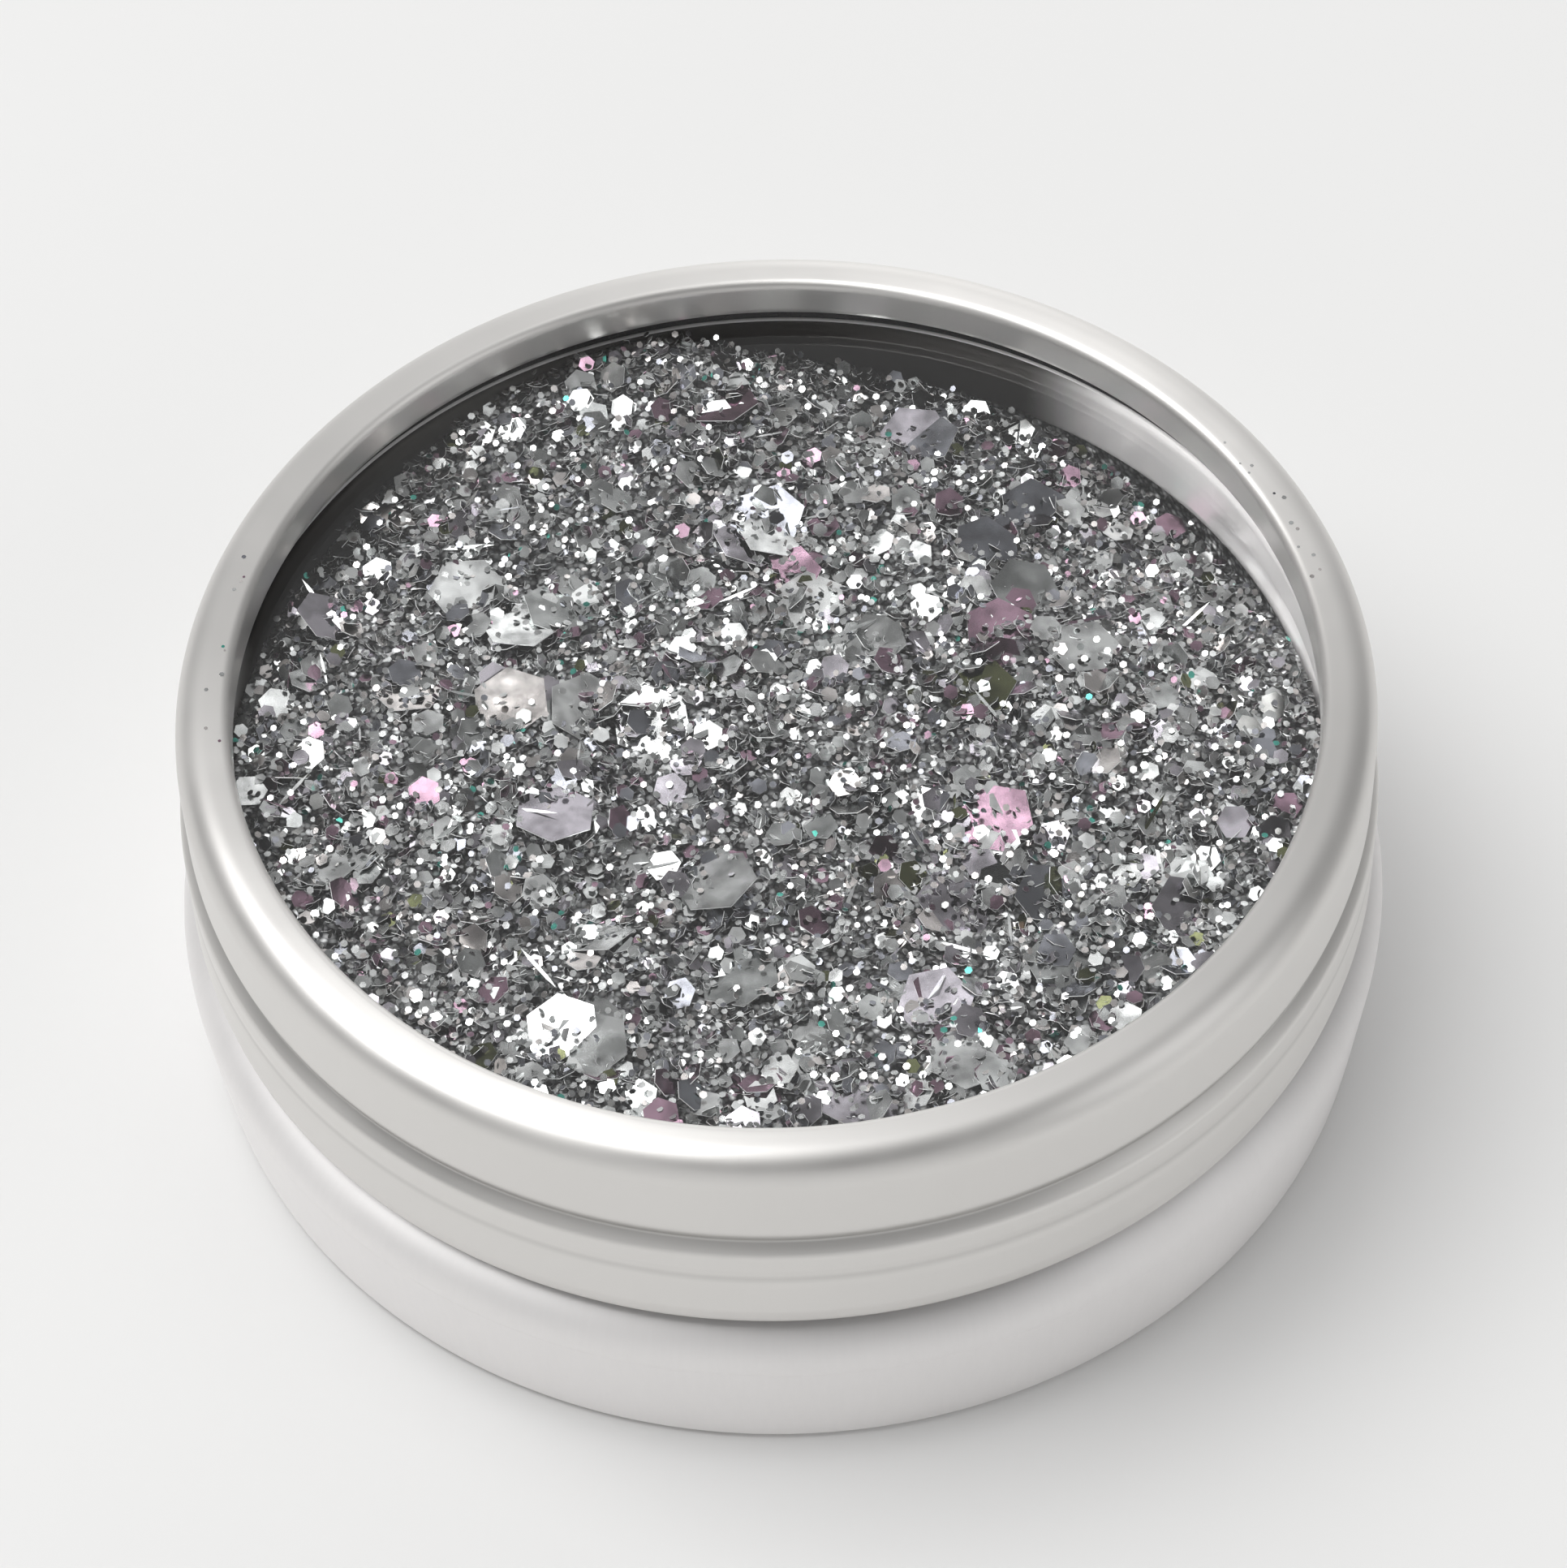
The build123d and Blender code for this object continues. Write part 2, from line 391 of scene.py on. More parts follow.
cup_path = bent_path([
    (0, panel, 0),
    (21.6 * mm, panel, 0.4 * mm),
    (22.6 * mm, foot, 0.4 * mm),
    (wall_at(0), foot, foot_corner - sheet / 2),
    (wall_at(wall_low), wall_low, 0),
], 3 * mm)
cup_path += bent_path([
    (wall_at(wall_low), wall_low, 0),
    (wall_at(scored_line - score_half), scored_line - score_half, 0.1 * mm),
    (wall_at(scored_line) - score_depth, scored_line, 0.3 * mm),
    (wall_at(scored_line + score_half), scored_line + score_half, 0.1 * mm),
    (wall_at(ledge), ledge, 1.75 * mm),
    (neck_middle, ledge, 0.35 * mm),
    (neck_middle, cup_high.z - curl_bend - sheet / 2, 0),
], 0.25 * mm)[1:]
add_curl(cup_path, -curl_bend, math.radians(255))
cup_section = section_curve("cup section", sheet_outline(cup_path, sheet))
base_cup = finished_mesh(cup_section, turned, "base_cup_metal", {
    "Segments": 288, "Lead": thread_lead, "Start Height": thread_start, "Turns": 1.1,
    "Ridge Depth": 1.0 * mm, "Ridge Width": 1.6 * mm, "Rolled Within": everywhere, "Metal": cup_metal})
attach(base_cup, "base")
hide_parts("base_cup")

# ---------------------------------------------------------------------------
# Glitter bed
# The body of loose glitter under the flakes that show: flakes too small and
# too deep to tell apart. It fills the cup nearly to the rim and has slid away
# from the wall on one side, as loose flakes do when the tin is tipped.
# ---------------------------------------------------------------------------
fill_low, fill_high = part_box("glitter_fill")
fill_gap = 0.1 * mm
bed_radius = neck_middle - sheet / 2 - fill_gap
bed_level = fill_high.z


def bed_outline():
    """The section of the fill: flat floor, cup wall, neck wall, and a top cut into short runs."""
    wall = fill_high.x
    path = bent_path([
        (0, fill_low.z, 0),
        (foot_wide - 3 * sheet, fill_low.z, 0.4 * mm),
        (wall - fill_gap, shoulder_line - sheet, 1.2 * mm),
        (bed_radius, ledge - sheet, 0.2 * mm),
        (bed_radius, bed_level, 0),
    ], 3 * mm)
    add_run(path, Vector((0, bed_level)), 0.3 * mm)
    return path[::-1]


def past_line(tree, split, angle, start):
    """How far a place lies past a line that crosses the tin square to an angle."""
    along_x = maths(tree, "MULTIPLY", split["X"], maths(tree, "COSINE", angle))
    along_y = maths(tree, "MULTIPLY", split["Y"], maths(tree, "SINE", angle))
    return maths(tree, "SUBTRACT", maths(tree, "ADD", along_x, along_y), start)


def bed_tree():
    """Spins the fill's section and raises its top into mounds, a slump and a fine roughness."""
    tree, given, result = new_tree("glitter bed", [
        ("Segments", "Int"), ("Level", "Float"), ("Slump Angle", "Float"), ("Slump Start", "Float"),
        ("Slump Run", "Float"), ("Slump Drop", "Float"), ("Gap Angle", "Float"), ("Gap Start", "Float"),
        ("Gap Slope", "Float"), ("Mound Height", "Float"),
        ("Grain Height", "Float"), ("Flakes", "Material")])
    take = given.outputs
    spun = spun_section(tree, take["Geometry"], take["Segments"])
    place = add(tree, "GeometryNodeInputPosition").outputs["Position"]
    split = add(tree, "ShaderNodeSeparateXYZ", {"Vector": place}).outputs
    on_top = maths(tree, "GREATER_THAN", split["Z"], maths(tree, "SUBTRACT", take["Level"], 0.01 * mm))
    slide = maths(tree, "DIVIDE", past_line(tree, split, take["Slump Angle"], take["Slump Start"]),
                  take["Slump Run"])
    slide = maths(tree, "MULTIPLY", slide, take["Slump Drop"])
    gap = maths(tree, "MULTIPLY", past_line(tree, split, take["Gap Angle"], take["Gap Start"]),
                take["Gap Slope"])
    drop = maths(tree, "SMOOTH_MAX", maths(tree, "SMOOTH_MAX", slide, gap, 0.3 * mm), 0.0, 0.6 * mm)
    mounds = add(tree, "ShaderNodeTexNoise",
                 {"Vector": place, "Scale": 75.0, "Detail": 1.0}).outputs["Fac"]
    grains = add(tree, "ShaderNodeTexNoise",
                 {"Vector": place, "Scale": 900.0, "Detail": 3.0, "Roughness": 0.7}).outputs["Fac"]
    rise = maths(tree, "MULTIPLY", maths(tree, "SUBTRACT", mounds, 0.45), take["Mound Height"])
    rise = maths(tree, "ADD", rise, maths(tree, "MULTIPLY", maths(tree, "SUBTRACT", grains, 0.5),
                                          take["Grain Height"]))
    rise = maths(tree, "MULTIPLY", maths(tree, "SUBTRACT", rise, drop), on_top)
    lift = add(tree, "ShaderNodeCombineXYZ", {"Z": rise}).outputs["Vector"]
    shaped = add(tree, "GeometryNodeSetPosition", {"Geometry": spun, "Offset": lift})
    end_tree(tree, result, closed_mesh(tree, shaped.outputs["Geometry"]), take["Flakes"])
    return tree


def packed_flakes():
    """A dense bed of tiny mirror flakes, each cell of the pattern a flake at its own tilt."""
    material, tree, surface = new_material("packed glitter")
    place = add(tree, "ShaderNodeTexCoord").outputs["Object"]
    cells = add(tree, "ShaderNodeTexVoronoi", {"Vector": place, "Scale": 3600.0, "Randomness": 1.0})
    tilt = add(tree, "ShaderNodeVectorMath", {0: cells.outputs["Color"], 1: (0.5, 0.5, 0.5)},
               operation="SUBTRACT").outputs["Vector"]
    lean = add(tree, "ShaderNodeVectorMath", {0: tilt, "Scale": 1.7}, operation="SCALE").outputs["Vector"]
    facing = add(tree, "ShaderNodeNewGeometry").outputs["Normal"]
    leaning = add(tree, "ShaderNodeVectorMath", {0: facing, 1: lean}, operation="ADD").outputs["Vector"]
    normal = add(tree, "ShaderNodeVectorMath", {0: leaning}, operation="NORMALIZE").outputs["Vector"]
    tree.links.new(normal, surface.inputs["Normal"])
    shades = two_shades(tree, cells.outputs["Distance"], 0.2, (0.64, 0.65, 0.65), 0.62, (0.15, 0.152, 0.155))
    tree.links.new(shades, surface.inputs["Base Color"])
    surface.inputs["Metallic"].default_value = 1.0
    surface.inputs["Roughness"].default_value = 0.3
    return material


bed_section = section_curve("bed section", bed_outline())
glitter_bed = finished_mesh(bed_section, bed_tree(), "glitter_bed", {
    "Segments": 240, "Level": bed_level, "Slump Angle": math.radians(45), "Slump Start": 12 * mm,
    "Slump Run": 11.0 * mm, "Slump Drop": 3.6 * mm,
    "Gap Angle": math.radians(150), "Gap Start": 19.5 * mm, "Gap Slope": 0.55, "Mound Height": 2.0 * mm,
    "Grain Height": 0.35 * mm, "Flakes": packed_flakes()})
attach(glitter_bed, "base")
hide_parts("glitter_fill")

# ---------------------------------------------------------------------------
# Glitter flakes
# Hexagons punched from thin metallised film, in the four sizes of a chunky
# mix, with a few hair-thin slivers. They lie loose on the bed, mostly flat,
# overlapping and leaning on each other.
# ---------------------------------------------------------------------------
def random_number(tree, low, high, seed):
    """A random number for each point or instance, between two limits."""
    return add(tree, "FunctionNodeRandomValue", {2: low, 3: high, 8: seed}, data_type="FLOAT").outputs[1]


def scatter_tree():
    """Scatters six-sided flakes over the top of the bed."""
    tree, given, result = new_tree("scattered flakes", [
        ("Flakes Per Area", "Float"), ("Width", "Float"), ("Thickness", "Float"), ("Stretch", "Float"),
        ("Smallest", "Float"), ("Tilt", "Float"), ("Lowest", "Float"), ("Highest", "Float"),
        ("Within", "Float"), ("Seed", "Int"), ("Film", "Material")])
    take = given.outputs
    seed = take["Seed"]
    seeds = [maths(tree, "ADD", seed, float(i)) for i in range(10)]
    place = add(tree, "GeometryNodeInputPosition").outputs["Position"]
    facing = add(tree, "GeometryNodeInputNormal").outputs["Normal"]
    up = add(tree, "ShaderNodeSeparateXYZ", {"Vector": facing}).outputs["Z"]
    split = add(tree, "ShaderNodeSeparateXYZ", {"Vector": place}).outputs
    radius = from_axis(tree, split)[0]
    inside = maths(tree, "LESS_THAN", radius, take["Within"])
    top = maths(tree, "MULTIPLY", maths(tree, "GREATER_THAN", up, 0.3), inside)
    points = add(tree, "GeometryNodeDistributePointsOnFaces",
                 {"Mesh": take["Geometry"], "Selection": top, "Density": take["Flakes Per Area"],
                  "Seed": seed}, distribute_method="RANDOM")
    height = random_number(tree, take["Lowest"], take["Highest"], seeds[1])
    lift = add(tree, "ShaderNodeCombineXYZ", {"Z": height}).outputs["Vector"]
    placed = add(tree, "GeometryNodeSetPosition", {"Geometry": points.outputs["Points"], "Offset": lift})
    corner = maths(tree, "DIVIDE", take["Width"], math.sqrt(3))
    hexagon = add(tree, "GeometryNodeMeshCylinder",
                  {"Vertices": 6, "Side Segments": 1, "Fill Segments": 1, "Radius": corner,
                   "Depth": take["Thickness"]}, fill_type="NGON")
    stretch = add(tree, "ShaderNodeCombineXYZ", {"X": take["Stretch"], "Y": 1.0, "Z": 1.0}).outputs["Vector"]
    marked = add(tree, "GeometryNodeStoreNamedAttribute",
                 {"Geometry": hexagon.outputs["Mesh"], "Name": "cut_edge", "Value": hexagon.outputs["Side"]},
                 data_type="FLOAT", domain="FACE")
    flake = add(tree, "GeometryNodeTransform", {"Geometry": marked.outputs["Geometry"], "Scale": stretch})
    leans = []
    for i in (2, 4):
        one = random_number(tree, -0.5, 0.5, seeds[i])
        other = random_number(tree, -0.5, 0.5, seeds[i + 1])
        leans.append(maths(tree, "MULTIPLY", maths(tree, "ADD", one, other), take["Tilt"]))
    spin = random_number(tree, 0.0, 2 * math.pi, seeds[6])
    turned_to = add(tree, "ShaderNodeCombineXYZ", {"X": leans[0], "Y": leans[1], "Z": spin})
    size = random_number(tree, take["Smallest"], 1.0, seeds[7])
    strewn = add(tree, "GeometryNodeInstanceOnPoints",
                 {"Points": placed.outputs["Geometry"], "Instance": flake.outputs["Geometry"],
                  "Rotation": turned_to.outputs["Vector"], "Scale": size})
    tinted = add(tree, "GeometryNodeStoreNamedAttribute",
                 {"Geometry": strewn.outputs["Instances"], "Name": "tint",
                  "Value": random_number(tree, 0.0, 1.0, seeds[8])}, data_type="FLOAT", domain="INSTANCE")
    glossed = add(tree, "GeometryNodeStoreNamedAttribute",
                  {"Geometry": tinted.outputs["Geometry"], "Name": "gloss",
                   "Value": random_number(tree, 0.0, 1.0, seeds[9])}, data_type="FLOAT", domain="INSTANCE")
    end_tree(tree, result, glossed.outputs["Geometry"], take["Film"])
    return tree


def metallised_film(name, colours, scuff):
    """Mirror film: each flake takes one of the colours, its own gloss, and a slight warp and scuffs."""
    material, tree, surface = new_material(name)
    tint = add(tree, "ShaderNodeAttribute", attribute_name="tint").outputs["Fac"]
    place = add(tree, "ShaderNodeTexCoord").outputs["Object"]
    ramp_node = add(tree, "ShaderNodeValToRGB", {"Fac": tint})
    ramp = ramp_node.color_ramp
    ramp.interpolation = "CONSTANT"
    ramp.elements.remove(ramp.elements[1])
    for i, (start, colour) in enumerate(colours):
        stop = ramp.elements[0] if i == 0 else ramp.elements.new(start)
        stop.position = start
        stop.color = (*colour, 1)
    cloud = add(tree, "ShaderNodeTexNoise", {"Vector": place, "Scale": 650.0, "Detail": 2.0}).outputs["Fac"]
    shade = add(tree, "ShaderNodeMapRange", {"Value": cloud, "From Min": 0.38, "From Max": 0.62,
                                             "To Min": 0.45, "To Max": 1.0}).outputs["Result"]
    mottled = add(tree, "ShaderNodeVectorMath", {0: ramp_node.outputs["Color"], "Scale": shade},
                  operation="SCALE").outputs["Vector"]
    smear = add(tree, "ShaderNodeTexNoise",
                {"Vector": place, "Scale": 1500.0, "Detail": 3.0, "Roughness": 0.6}).outputs["Fac"]
    gloss = add(tree, "ShaderNodeAttribute", attribute_name="gloss").outputs["Fac"]
    rough = maths(tree, "ADD", maths(tree, "MULTIPLY", gloss, 0.16), maths(tree, "MULTIPLY", smear, scuff))
    tree.links.new(rough, surface.inputs["Roughness"])
    cut_edge = add(tree, "ShaderNodeAttribute", attribute_name="cut_edge").outputs["Fac"]
    paler = add(tree, "ShaderNodeMix", {"Factor": cut_edge}, data_type="RGBA")
    bare_plastic = (0.92, 0.93, 0.93, 1)
    tree.links.new(mottled, paler.inputs[6])
    paler.inputs[7].default_value = bare_plastic
    tree.links.new(paler.outputs[2], surface.inputs["Base Color"])
    solid = maths(tree, "SUBTRACT", 1.0, maths(tree, "MULTIPLY", cut_edge, 0.8))
    tree.links.new(solid, surface.inputs["Metallic"])
    warp = add(tree, "ShaderNodeTexNoise", {"Vector": place, "Scale": 700.0, "Detail": 1.0}).outputs["Fac"]
    add_relief(tree, surface, warp, 0.5, 0.05 * mm)
    return material


def bed_copy():
    """A copy of the bed to scatter on."""
    copy = bpy.data.objects.new("scatter ground", glitter_bed.data.copy())
    bpy.context.scene.collection.objects.link(copy)
    return copy


silver = (0.93, 0.95, 0.945)
dull = (0.72, 0.735, 0.73)
warm = (0.88, 0.84, 0.82)
grey = (0.60, 0.62, 0.615)
lilac = (0.50, 0.475, 0.52)
mauve = (0.37, 0.24, 0.31)
teal = (0.12, 0.55, 0.45)
slate = (0.36, 0.37, 0.41)
olive = (0.13, 0.14, 0.07)
fine_film = metallised_film("fine glitter film", [
    (0.0, silver), (0.50, dull), (0.68, warm), (0.84, slate), (0.95, mauve), (0.982, teal)], 0.2)
chunk_film = metallised_film("chunky glitter film", [
    (0.0, silver), (0.24, dull), (0.40, grey), (0.60, warm), (0.68, lilac), (0.80, slate), (0.91, mauve),
    (0.975, olive)], 0.15)
flake_sizes = [
    # name, count per square metre, width, thickness, stretch, smallest, tilt, lowest, highest, seed, film
    ("fine_flakes", 5.2e6, 0.30 * mm, 0.014 * mm, 1.0, 0.7, 1.3, -0.10 * mm, 0.18 * mm, 11, fine_film),
    ("fine_flakes_over", 5.0e6, 0.30 * mm, 0.014 * mm, 1.0, 0.7, 1.5, 0.05 * mm, 0.36 * mm, 23, fine_film),
    ("fine_flakes_loose", 2.2e6, 0.30 * mm, 0.014 * mm, 1.0, 0.8, 0.9, 0.36 * mm, 0.70 * mm, 29, fine_film),
    ("small_flakes", 2.0e6, 0.68 * mm, 0.022 * mm, 1.0, 0.75, 1.1, 0.05 * mm, 0.45 * mm, 37, chunk_film),
    ("medium_flakes", 2.6e5, 1.4 * mm, 0.034 * mm, 1.0, 0.7, 0.85, 0.10 * mm, 0.50 * mm, 41, chunk_film),
    ("large_flakes", 2.6e4, 3.1 * mm, 0.040 * mm, 1.0, 0.85, 0.48, 0.10 * mm, 0.50 * mm, 59, chunk_film),
    ("slivers", 5.0e4, 0.16 * mm, 0.016 * mm, 13.0, 0.5, 0.6, 0.20 * mm, 0.75 * mm, 67, chunk_film),
]
scatter = scatter_tree()
for name, amount, width, thickness, stretch, smallest, tilt, lowest, highest, seed, film in flake_sizes:
    flakes = finished_mesh(bed_copy(), scatter, name, {
        "Flakes Per Area": amount, "Width": width, "Thickness": thickness,
        "Stretch": stretch, "Smallest": smallest, "Tilt": tilt, "Lowest": lowest, "Highest": highest,
        "Within": bed_radius - 0.1 * mm - width * stretch / 2, "Seed": seed, "Film": film})
    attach(flakes, "base")

# ---------------------------------------------------------------------------
# Liner ring
# A washer die-cut from closed-cell foam. It lies loose in the lid, between
# the window and the neck's rim, and is pinched when the lid is screwed down.
# ---------------------------------------------------------------------------
liner_low, liner_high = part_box("liner_ring")


def foam(name):
    """Dark grey closed-cell foam, with its fine cells and a little dust."""
    material, tree, surface = new_material(name)
    place = add(tree, "ShaderNodeTexCoord").outputs["Object"]
    cells = add(tree, "ShaderNodeTexVoronoi", {"Vector": place, "Scale": 7000.0}).outputs["Distance"]
    dust_and_shade = add(tree, "ShaderNodeTexNoise", {"Vector": place, "Scale": 260.0, "Detail": 4.0}).outputs["Fac"]
    shades = two_shades(tree, dust_and_shade, 0.3, (0.010, 0.010, 0.011), 0.7, (0.035, 0.035, 0.036))
    tree.links.new(shades, surface.inputs["Base Color"])
    surface.inputs["Roughness"].default_value = 0.75
    add_relief(tree, surface, cells, 0.6, 0.03 * mm)
    return material


liner_bore = 23.3 * mm
liner_middle = (liner_bore + liner_high.x) / 2
liner_edge = 0.14 * mm
# the outline closes on itself, so its first point is dropped, and it is turned round to face outwards
liner_path = bent_path([
    (liner_middle, liner_low.z, 0),
    (liner_high.x, liner_low.z, liner_edge),
    (liner_high.x, liner_high.z, liner_edge),
    (liner_bore, liner_high.z, liner_edge),
    (liner_bore, liner_low.z, liner_edge),
    (liner_middle, liner_low.z, 0),
], 0.2 * mm)[:0:-1]
nowhere = 0.0
liner = finished_mesh(section_curve("liner section", liner_path), turned, "liner_foam", {
    "Segments": 192, "Lead": thread_lead, "Start Height": 0.0, "Turns": 0.0, "Ridge Depth": 0.0,
    "Ridge Width": 1.0 * mm, "Rolled Within": nowhere, "Metal": foam("liner foam")})
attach(liner, "liner")
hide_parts("liner_ring")

# ---------------------------------------------------------------------------
# Window
# A disc cut from clear plastic sheet. It lies against the underside of the
# lid's inner wall, and the liner and the neck's rim hold it there.
# ---------------------------------------------------------------------------
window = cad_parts["window_disc"]


def clear_plastic(name):
    """Clear glossy sheet with hair scratches, which lets the light from lamps straight through."""
    material, tree, surface = new_material(name)
    place = add(tree, "ShaderNodeTexCoord").outputs["Object"]
    scratches = add(tree, "ShaderNodeTexNoise",
                    {"Vector": place, "Scale": 420.0, "Detail": 2.0, "Distortion": 3.0}).outputs["Fac"]
    surface.inputs["Base Color"].default_value = (1.0, 1.0, 1.0, 1)
    surface.inputs["Transmission Weight"].default_value = 1.0
    surface.inputs["Roughness"].default_value = 0.02
    surface.inputs["IOR"].default_value = 1.45
    add_relief(tree, surface, scratches, 0.02, 0.01 * mm)
    clear = add(tree, "ShaderNodeBsdfTransparent")
    path = add(tree, "ShaderNodeLightPath")
    mix = add(tree, "ShaderNodeMixShader", {0: path.outputs["Is Shadow Ray"]})
    tree.links.new(surface.outputs["BSDF"], mix.inputs[1])
    tree.links.new(clear.outputs["BSDF"], mix.inputs[2])
    tree.links.new(mix.outputs["Shader"], tree.nodes["Material Output"].inputs["Surface"])
    return material


window.data.materials.clear()
window.data.materials.append(clear_plastic("clear window"))

# ---------------------------------------------------------------------------
# Lid shell
# The upper half: a ring of drawn aluminium with a rounded rim that turns
# down inside to the window, and a wider skirt that takes the thread. It
# screws onto the neck.
# ---------------------------------------------------------------------------
lid_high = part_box("lid_shell")[1]
lid_wall = 25.0 * mm - sheet / 2
lid_edge = 8.7 * mm
skirt = lid_high.x - sheet / 2
faint_line = 11.8 * mm
faint_half = 0.6 * mm
groove_middle = 24.775 * mm - sheet / 2
rim_top = lid_high.z - sheet / 2 - 0.03 * mm
rim_inside = 22.65 * mm + sheet / 2
lid_path = bent_path([
    (25.15 * mm - sheet / 2, lid_edge, 0),
    (skirt, 9.5 * mm, 1.5 * mm),
    (skirt, faint_line - faint_half, 2.0 * mm),
    (skirt - 0.05 * mm, faint_line, 0.8 * mm),
    (skirt, faint_line + faint_half, 2.0 * mm),
    (skirt, 13.25 * mm, 0.35 * mm),
    (groove_middle, 13.85 * mm, 0.35 * mm),
    (lid_wall, 14.5 * mm, 0.6 * mm),
    (lid_wall, rim_top, 1.35 * mm - sheet / 2),
    (rim_inside, rim_top, 0.4 * mm - sheet / 2),
    (rim_inside, 17.05 * mm, 0),
], 0.25 * mm)
# the rolled groove and the faint line on the skirt get painted shade
lid_metal = satin_aluminium("satin aluminium lid", (0.80, 0.785, 0.765), 0.08, 0.45, [
    (13.95 * mm, 0.80 * mm, 0.34), (faint_line, 0.35 * mm, 0.12)], False)
lid_section = section_curve("lid section", sheet_outline(lid_path, sheet))
lid = finished_mesh(lid_section, turned, "lid_shell_metal", {
    "Segments": 320, "Lead": thread_lead, "Start Height": thread_start - thread_lead / 2, "Turns": 1.0,
    "Ridge Depth": -0.8 * mm, "Ridge Width": 1.5 * mm, "Rolled Within": 25.1 * mm, "Metal": lid_metal})
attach(lid, "lid")
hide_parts("lid_shell")

# ---------------------------------------------------------------------------
# Stray flakes
# A few of the smallest flakes that have stuck to the lid's rim by static,
# beside the window.
# ---------------------------------------------------------------------------
def rim_strips(arcs, inner, outer, height):
    """Flat strips on the rim, one for each pair of angles in degrees."""
    steps = 10
    points, faces = [], []
    for first, last in arcs:
        for i in range(steps + 1):
            angle = math.radians(first + (last - first) * i / steps)
            along = Vector((math.cos(angle), math.sin(angle), 0))
            if i > 0:
                n = len(points)
                faces.append((n - 2, n - 1, n + 1, n))
            points += [along * inner, along * outer]
    mesh = bpy.data.meshes.new("rim strips")
    mesh.from_pydata([(p.x, p.y, height) for p in points], [], faces)
    strips = bpy.data.objects.new("rim strips", mesh)
    bpy.context.scene.collection.objects.link(strips)
    return strips


strips = rim_strips([(10, 34), (160, 186)], 23.0 * mm, 23.7 * mm, rim_top + sheet / 2)
stray_flakes = finished_mesh(strips, scatter, "stray_flakes", {
    "Flakes Per Area": 1.4e6, "Width": 0.22 * mm, "Thickness": 0.010 * mm, "Stretch": 1.0, "Smallest": 0.4,
    "Tilt": 0.0, "Lowest": 0.006 * mm, "Highest": 0.010 * mm, "Within": 25 * mm, "Seed": 73,
    "Film": fine_film})
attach(stray_flakes, "lid")

# ---------------------------------------------------------------------------
# Table, light and camera
# A pale matt table, a large soft window light on the left, a weaker fill
# from the ceiling, and a camera close above the front edge of the tin.
# ---------------------------------------------------------------------------
table_mesh = bpy.data.meshes.new("table")
table_half = 3.0
table_corners = [(x * table_half, y * table_half, 0) for x, y in ((-1, -1), (1, -1), (1, 1), (-1, 1))]
table_mesh.from_pydata(table_corners, [], [(0, 1, 2, 3)])
table = bpy.data.objects.new("table", table_mesh)
bpy.context.scene.collection.objects.link(table)
table_paint, _, table_surface = new_material("pale table")
table_surface.inputs["Base Color"].default_value = (0.832, 0.83, 0.824, 1)
table_surface.inputs["Roughness"].default_value = 0.9
table_surface.inputs["Specular IOR Level"].default_value = 0.1
table_mesh.materials.append(table_paint)


def soft_light(name, place, size, power):
    """A square area light that faces the tin."""
    data = bpy.data.lights.new(name, "AREA")
    data.shape = "SQUARE"
    data.size = size
    data.energy = power
    light = bpy.data.objects.new(name, data)
    light.location = place
    light.rotation_euler = (Vector((0, 0, 0.01)) - Vector(place)).to_track_quat("-Z", "Y").to_euler()
    bpy.context.scene.collection.objects.link(light)
    return light


soft_light("window light", (-0.52, 0.12, 1.15), 0.92, 10.6)
ceiling_fill = soft_light("ceiling fill", (0.0, -0.25, 1.22), 0.9, 1.4)
ceiling_fill.visible_glossy = False


def glow(tree, towards, middle, from_cosine, to_cosine, strength):
    """A soft-edged patch of the surroundings: its strength in the middle, nothing outside."""
    near = add(tree, "ShaderNodeVectorMath", {0: towards, 1: Vector(middle).normalized()},
               operation="DOT_PRODUCT").outputs["Value"]
    return add(tree, "ShaderNodeMapRange",
               {"Value": near, "From Min": from_cosine, "From Max": to_cosine, "To Min": 0.0,
                "To Max": strength}, interpolation_type="SMOOTHSTEP").outputs["Result"]


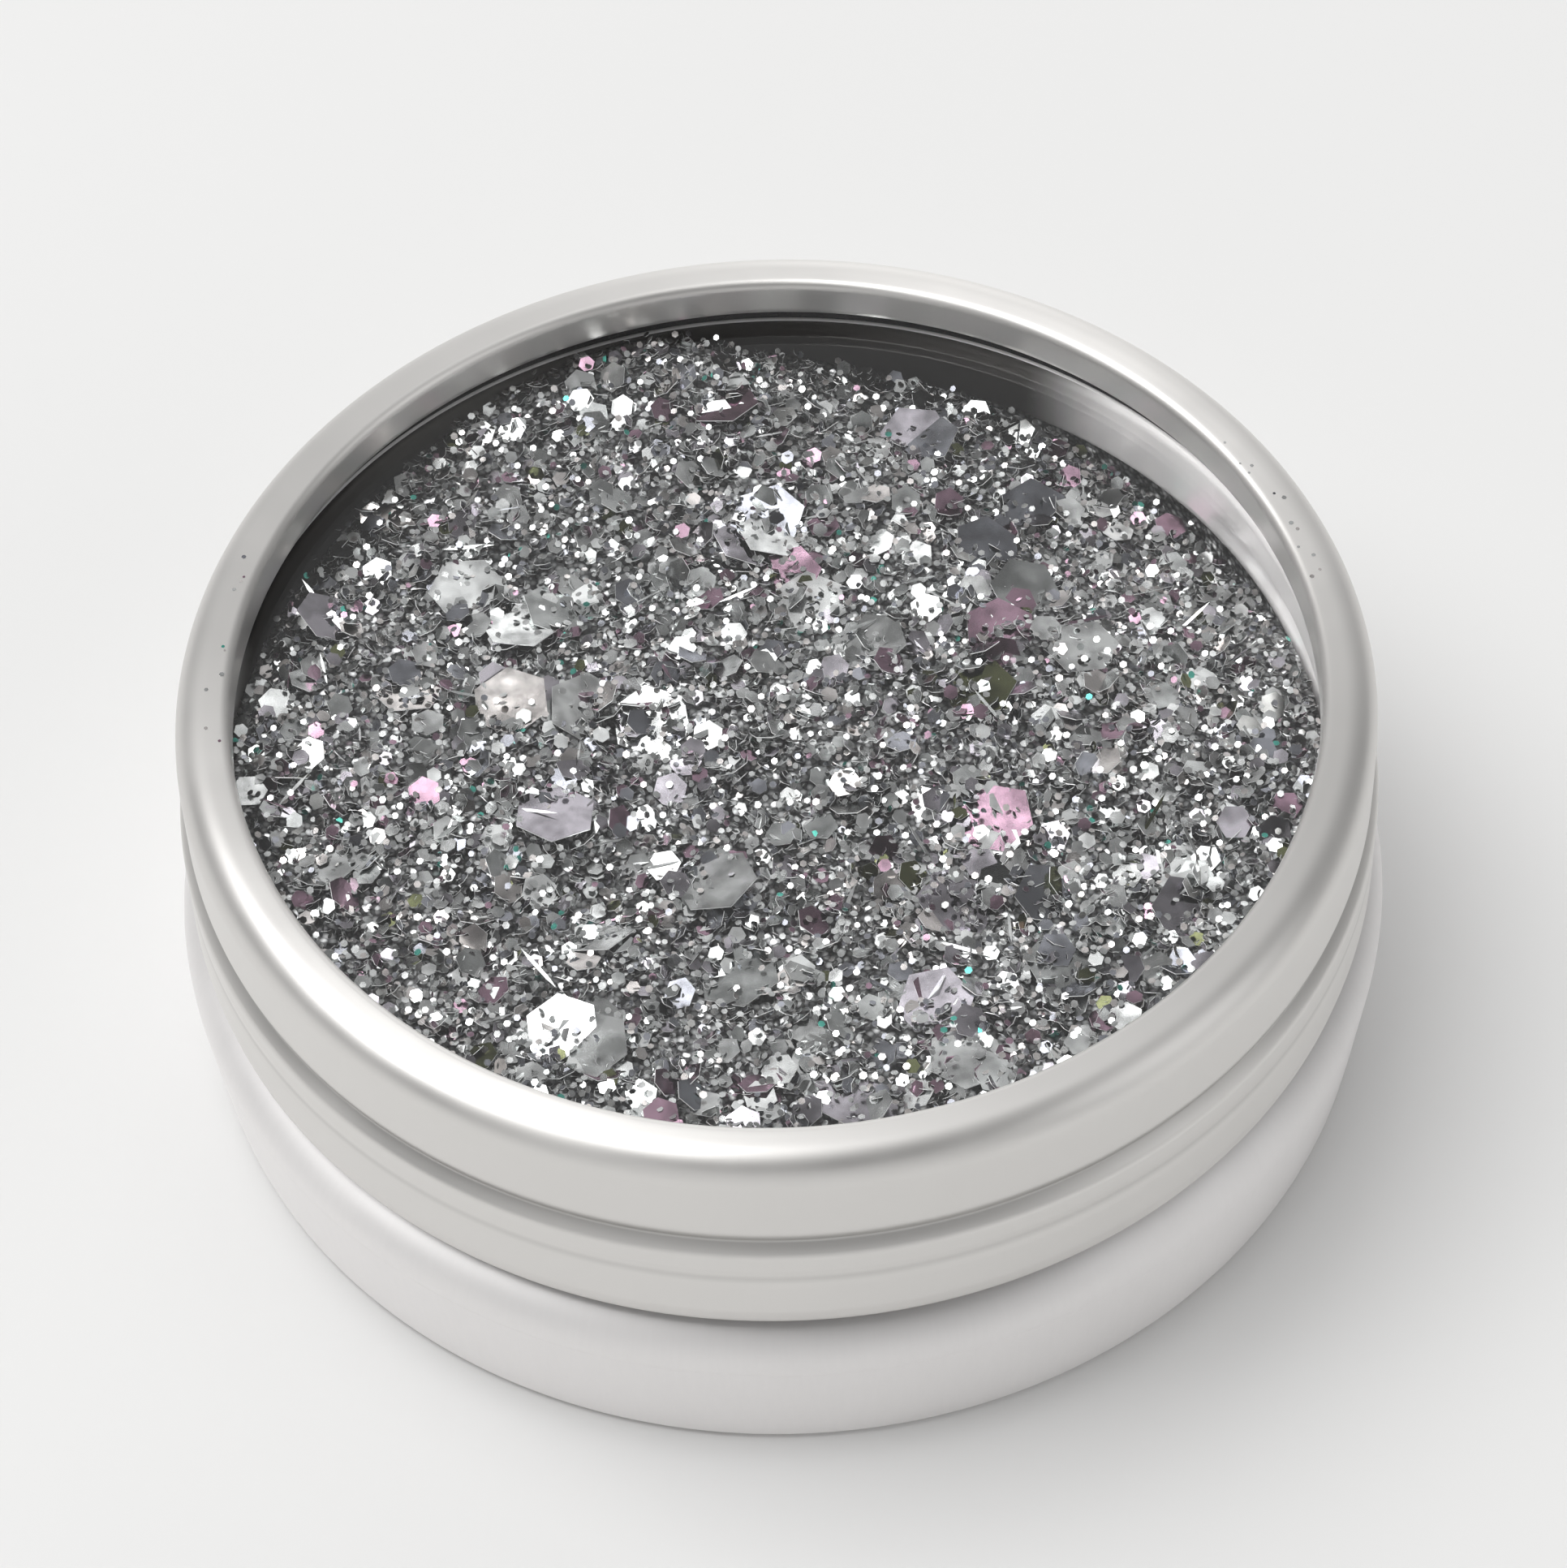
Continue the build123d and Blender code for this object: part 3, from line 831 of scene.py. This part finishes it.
def studio_world():
    """Pale walls, a grey ceiling, a skylight crossed by a beam, a side window, and the shade of someone who
    leans over the tin."""
    world = bpy.data.worlds.new("studio")
    world.use_nodes = True
    tree = world.node_tree
    towards = add(tree, "ShaderNodeTexCoord").outputs["Generated"]
    split = add(tree, "ShaderNodeSeparateXYZ", {"Vector": towards}).outputs
    walls = add(tree, "ShaderNodeMapRange",
                {"Value": split["Z"], "From Min": 0.35, "From Max": 0.78, "To Min": 0.76,
                 "To Max": 0.44}).outputs["Result"]
    aside = maths(tree, "ABSOLUTE", split["X"])
    dimmer = add(tree, "ShaderNodeMapRange",
                 {"Value": aside, "From Min": 0.25, "From Max": 0.80, "To Min": 1.0,
                  "To Max": 0.38}).outputs["Result"]
    walls = maths(tree, "MULTIPLY", walls, dimmer)
    off_strip = maths(tree, "ABSOLUTE", maths(tree, "SUBTRACT", split["X"], 0.10))
    strip = add(tree, "ShaderNodeMapRange",
                {"Value": off_strip, "From Min": 0.30, "From Max": 0.08, "To Min": 0.0, "To Max": 0.68},
                interpolation_type="SMOOTHSTEP").outputs["Result"]
    behind = add(tree, "ShaderNodeMapRange", {"Value": split["Y"], "From Min": 0.0, "From Max": 0.3},
                 interpolation_type="SMOOTHSTEP").outputs["Result"]
    off_beam = maths(tree, "ABSOLUTE", maths(tree, "SUBTRACT", split["Z"], 0.71))
    beam = add(tree, "ShaderNodeMapRange", {"Value": off_beam, "From Min": 0.08, "From Max": 0.20},
               interpolation_type="SMOOTHSTEP").outputs["Result"]
    skylight = maths(tree, "MULTIPLY", maths(tree, "MULTIPLY", strip, behind), beam)
    side_window = glow(tree, towards, (0.80, -0.33, 0.48), 0.88, 0.98, 0.8)
    leaning_shade = glow(tree, towards, (0.05, -0.58, 0.81), 0.86, 0.96, 0.95)
    light = maths(tree, "ADD", maths(tree, "ADD", walls, skylight), side_window)
    light = maths(tree, "MULTIPLY", light, maths(tree, "SUBTRACT", 1.0, leaning_shade))
    background = tree.nodes["Background"]
    tree.links.new(light, background.inputs["Strength"])
    background.inputs["Color"].default_value = (1.0, 1.0, 1.0, 1)
    return world


bpy.context.scene.world = studio_world()
bpy.context.scene.view_settings.view_transform = "Standard"

camera_data = bpy.data.cameras.new("camera")
camera_data.sensor_fit = "HORIZONTAL"
camera_data.sensor_width = 36.0
camera_data.lens = 118.2
camera = bpy.data.objects.new("camera", camera_data)
camera.location = (0.0, -0.13765, 0.18181)
look_down = math.radians(51.03)
lean = math.radians(-2.19)
forward = Vector((0.0009, math.cos(look_down), -math.sin(look_down)))
level = forward.to_track_quat("-Z", "Y")
camera.rotation_mode = "QUATERNION"
camera.rotation_quaternion = level @ Quaternion((0, 0, 1), lean)
bpy.context.scene.collection.objects.link(camera)
bpy.context.scene.camera = camera
